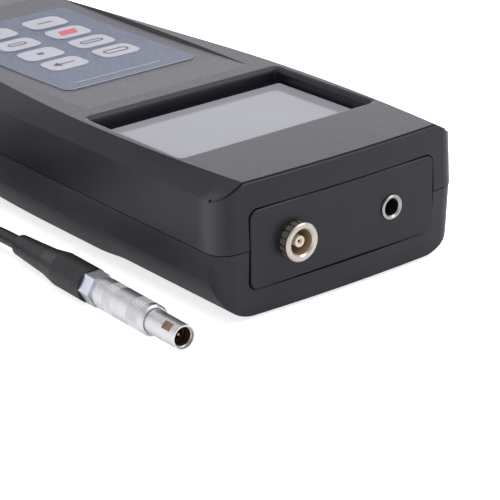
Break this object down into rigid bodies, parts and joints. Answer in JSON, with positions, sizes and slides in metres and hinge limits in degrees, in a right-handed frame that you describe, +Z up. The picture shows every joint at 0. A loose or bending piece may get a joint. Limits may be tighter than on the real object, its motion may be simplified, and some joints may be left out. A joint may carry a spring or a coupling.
{
  "type": "wood moisture meter",
  "caption": "Hand-held moisture meter: bevelled case with display recess, keypad, probe receptacle and jack, with its probe lead and two-pin hand probe.",
  "frame": {"origin": "middle of the underside, on the face the case rests on", "axes": "+Z up out of the deck, -Y toward the head end with the two sockets, +X to the right with the display read from the tail"},
  "size_m": [0.1099, 0.2399, 0.029],
  "materials": {
    "case_plastic": "fine textured moulded plastic",
    "case_lower": "fine textured moulded plastic",
    "door_plastic": "fine textured moulded plastic",
    "panel_plastic": "smooth satin plastic",
    "window_clear": "clear flat window",
    "display_grey": "pale grey display glass",
    "strip_rubber": "soft conductive strip",
    "board_green": "solder mask",
    "overlay_blue_grey": "printed satin film",
    "dome_metal": "pressed metal",
    "socket_metal": "satin plated brass",
    "socket_insulator": "moulded insulator",
    "contact_gold": "plated pin",
    "jack_metal": "turned metal",
    "jack_plastic": "moulded plastic",
    "screw_steel": "zinc plated",
    "battery_case": "plain painted can",
    "clip_plastic": "moulded plastic",
    "plug_metal": "satin chrome",
    "plug_brass": "turned brass",
    "plug_insulator": "moulded insulator",
    "boot_rubber": "soft moulded sleeve",
    "cable_jacket": "smooth satin jacket",
    "handle_plastic": "moulded plastic",
    "pin_steel": "ground steel",
    "key_grey": "pale printed key"
  },
  "bodies": {
    "case": {"upper_shell": "case_plastic", "lower_shell": "case_lower", "end_panel": "panel_plastic", "display_window": "window_clear", "display_glass": "display_grey", "display_strips": "strip_rubber", "main_board": "board_green", "keypad_overlay": "overlay_blue_grey", "key_domes": "dome_metal", "socket_shell": "socket_metal", "socket_insulator": "socket_insulator", "socket_contact": "contact_gold", "socket_ring": "socket_metal", "socket_nut": "socket_metal", "jack_bush": "jack_metal", "jack_body": "jack_plastic", "case_screws": "screw_steel", "battery": "battery_case", "battery_clip": "clip_plastic", "plug_nose": "plug_metal", "plug_latch": "plug_brass", "plug_insulator": "plug_insulator", "plug_contact": "contact_gold", "plug_nut": "plug_metal", "plug_boot": "boot_rubber", "lead_cable": "cable_jacket", "lead_tail": "cable_jacket", "lead_coil": "cable_jacket", "probe_handle": "handle_plastic", "probe_gland": "boot_rubber", "probe_head": "handle_plastic", "probe_pins": "pin_steel", "pin_nuts": "plug_metal"},
    "key_1_body": {"key_1": "key_grey"},
    "key_2_body": {"key_2": "key_grey"},
    "key_3_body": {"key_3": "key_grey"},
    "key_4_body": {"key_4": "key_grey"},
    "key_5_body": {"key_5": "key_grey"},
    "key_6_body": {"key_6": "key_grey"},
    "key_7_body": {"key_7": "key_grey"},
    "key_8_body": {"key_8": "key_grey"},
    "door": {"battery_door": "door_plastic"},
    "release_sleeve": {"plug_sleeve": "plug_metal"}
  },
  "joints": [
    {"name": "key_1_press", "type": "slide", "parent": "case", "child": "key_1_body", "axis": [0, -0.0157, -0.9999], "range_m": [0, 0.0003], "stiffness_N_per_m": 600},
    {"name": "key_2_press", "type": "slide", "parent": "case", "child": "key_2_body", "axis": [0, -0.0157, -0.9999], "range_m": [0, 0.0003], "stiffness_N_per_m": 600},
    {"name": "key_3_press", "type": "slide", "parent": "case", "child": "key_3_body", "axis": [0, -0.0157, -0.9999], "range_m": [0, 0.0003], "stiffness_N_per_m": 600},
    {"name": "key_4_press", "type": "slide", "parent": "case", "child": "key_4_body", "axis": [0, -0.0157, -0.9999], "range_m": [0, 0.0003], "stiffness_N_per_m": 600},
    {"name": "key_5_press", "type": "slide", "parent": "case", "child": "key_5_body", "axis": [0, -0.0157, -0.9999], "range_m": [0, 0.0003], "stiffness_N_per_m": 600},
    {"name": "key_6_press", "type": "slide", "parent": "case", "child": "key_6_body", "axis": [0, -0.0157, -0.9999], "range_m": [0, 0.0003], "stiffness_N_per_m": 600},
    {"name": "key_7_press", "type": "slide", "parent": "case", "child": "key_7_body", "axis": [0, -0.0157, -0.9999], "range_m": [0, 0.0003], "stiffness_N_per_m": 600},
    {"name": "key_8_press", "type": "slide", "parent": "case", "child": "key_8_body", "axis": [0, -0.0157, -0.9999], "range_m": [0, 0.0003], "stiffness_N_per_m": 600},
    {"name": "battery_door_slide", "type": "slide", "parent": "case", "child": "door", "axis": [0, 1, 0], "range_m": [0, 0.058]},
    {"name": "plug_release_slide", "type": "slide", "parent": "case", "child": "release_sleeve", "axis": [0.0298, 0.9996, 0], "range_m": [0, 0.001], "stiffness_N_per_m": 800}
  ]
}
